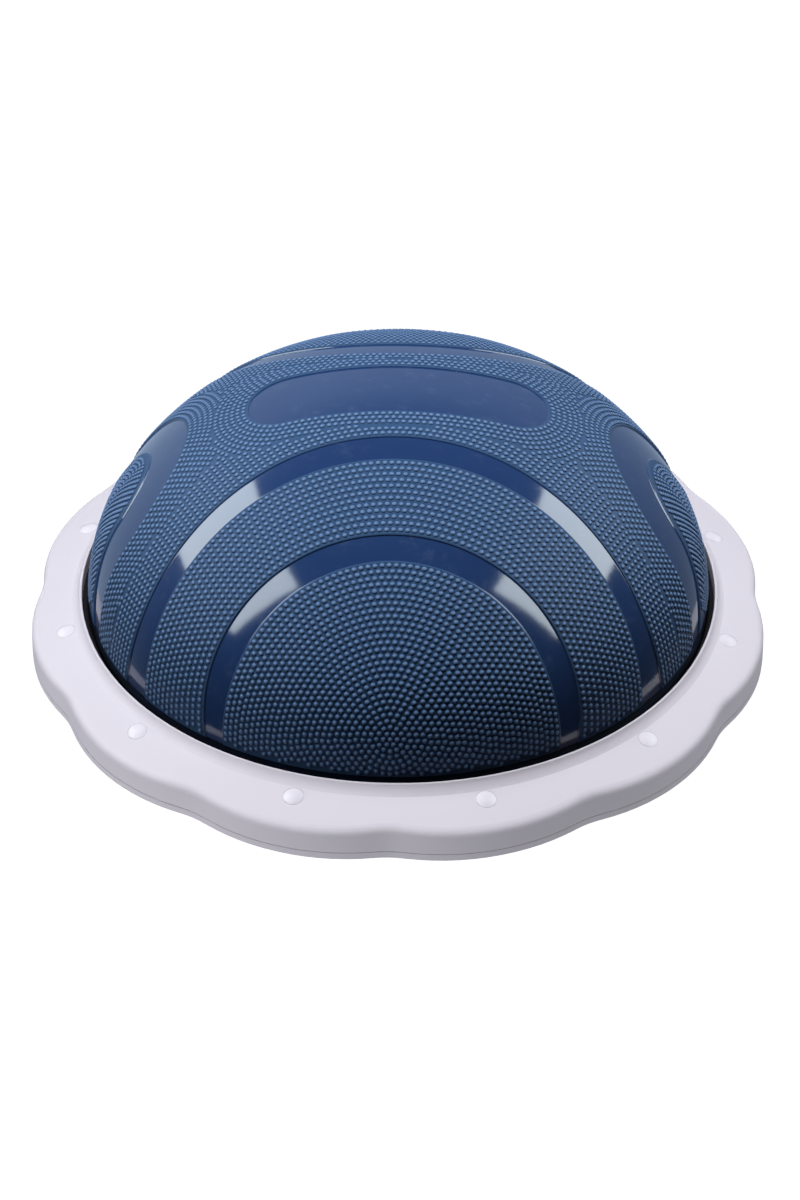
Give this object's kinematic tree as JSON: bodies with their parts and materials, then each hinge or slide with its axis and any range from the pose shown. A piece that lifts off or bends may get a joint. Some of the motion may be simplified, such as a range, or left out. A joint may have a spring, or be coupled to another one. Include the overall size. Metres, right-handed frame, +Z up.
{
  "type": "balance dome trainer",
  "caption": "Inflated studded half-dome with smooth inset bands, clamped by a screwed scalloped rim ring onto a flat ribbed platform, with a pull-out air plug.",
  "frame": {"origin": "middle of the underside, on the floor", "axes": "+Z up through the crown; -Y is the front; the air plug is at the back, +Y; the carrying slots are left and right, -X and +X"},
  "size_m": [0.64, 0.64, 0.2389],
  "materials": {
    "dome_skin": "satin moulded PVC, navy blue, studded with smooth bands",
    "platform_plastic": "fine satin injection-moulded polypropylene, pale lavender grey",
    "cap_plastic": "smooth satin plastic, pale lavender grey",
    "seal_rubber": "matte black",
    "sheet_rubber": "matte charcoal, fine ribbed tread",
    "foam_rubber": "matte closed-cell foam",
    "valve_rubber": "satin navy",
    "plug_plastic": "smooth, lightly glossy",
    "zinc_steel": "zinc plated"
  },
  "bodies": {
    "trainer": {"base_plate": "platform_plastic", "bladder_floor": "dome_skin", "clamp_screws": "zinc_steel", "dome_bladder": "dome_skin", "flange_cushion": "foam_rubber", "non_slip_sheet": "sheet_rubber", "rim_gasket": "seal_rubber", "screw_cap_01": "cap_plastic", "screw_cap_02": "cap_plastic", "screw_cap_03": "cap_plastic", "screw_cap_04": "cap_plastic", "screw_cap_05": "cap_plastic", "screw_cap_06": "cap_plastic", "screw_cap_07": "cap_plastic", "screw_cap_08": "cap_plastic", "screw_cap_09": "cap_plastic", "screw_cap_10": "cap_plastic", "screw_cap_11": "cap_plastic", "screw_cap_12": "cap_plastic", "screw_washers": "zinc_steel", "top_ring": "platform_plastic", "valve_seat": "valve_rubber"},
    "air_plug": {"valve_plug": "plug_plastic"}
  },
  "joints": [
    {"name": "air_plug_pull", "type": "slide", "parent": "trainer", "child": "air_plug", "axis": [0, 0.9816, 0.1908], "range_m": [0, 0.025]}
  ]
}
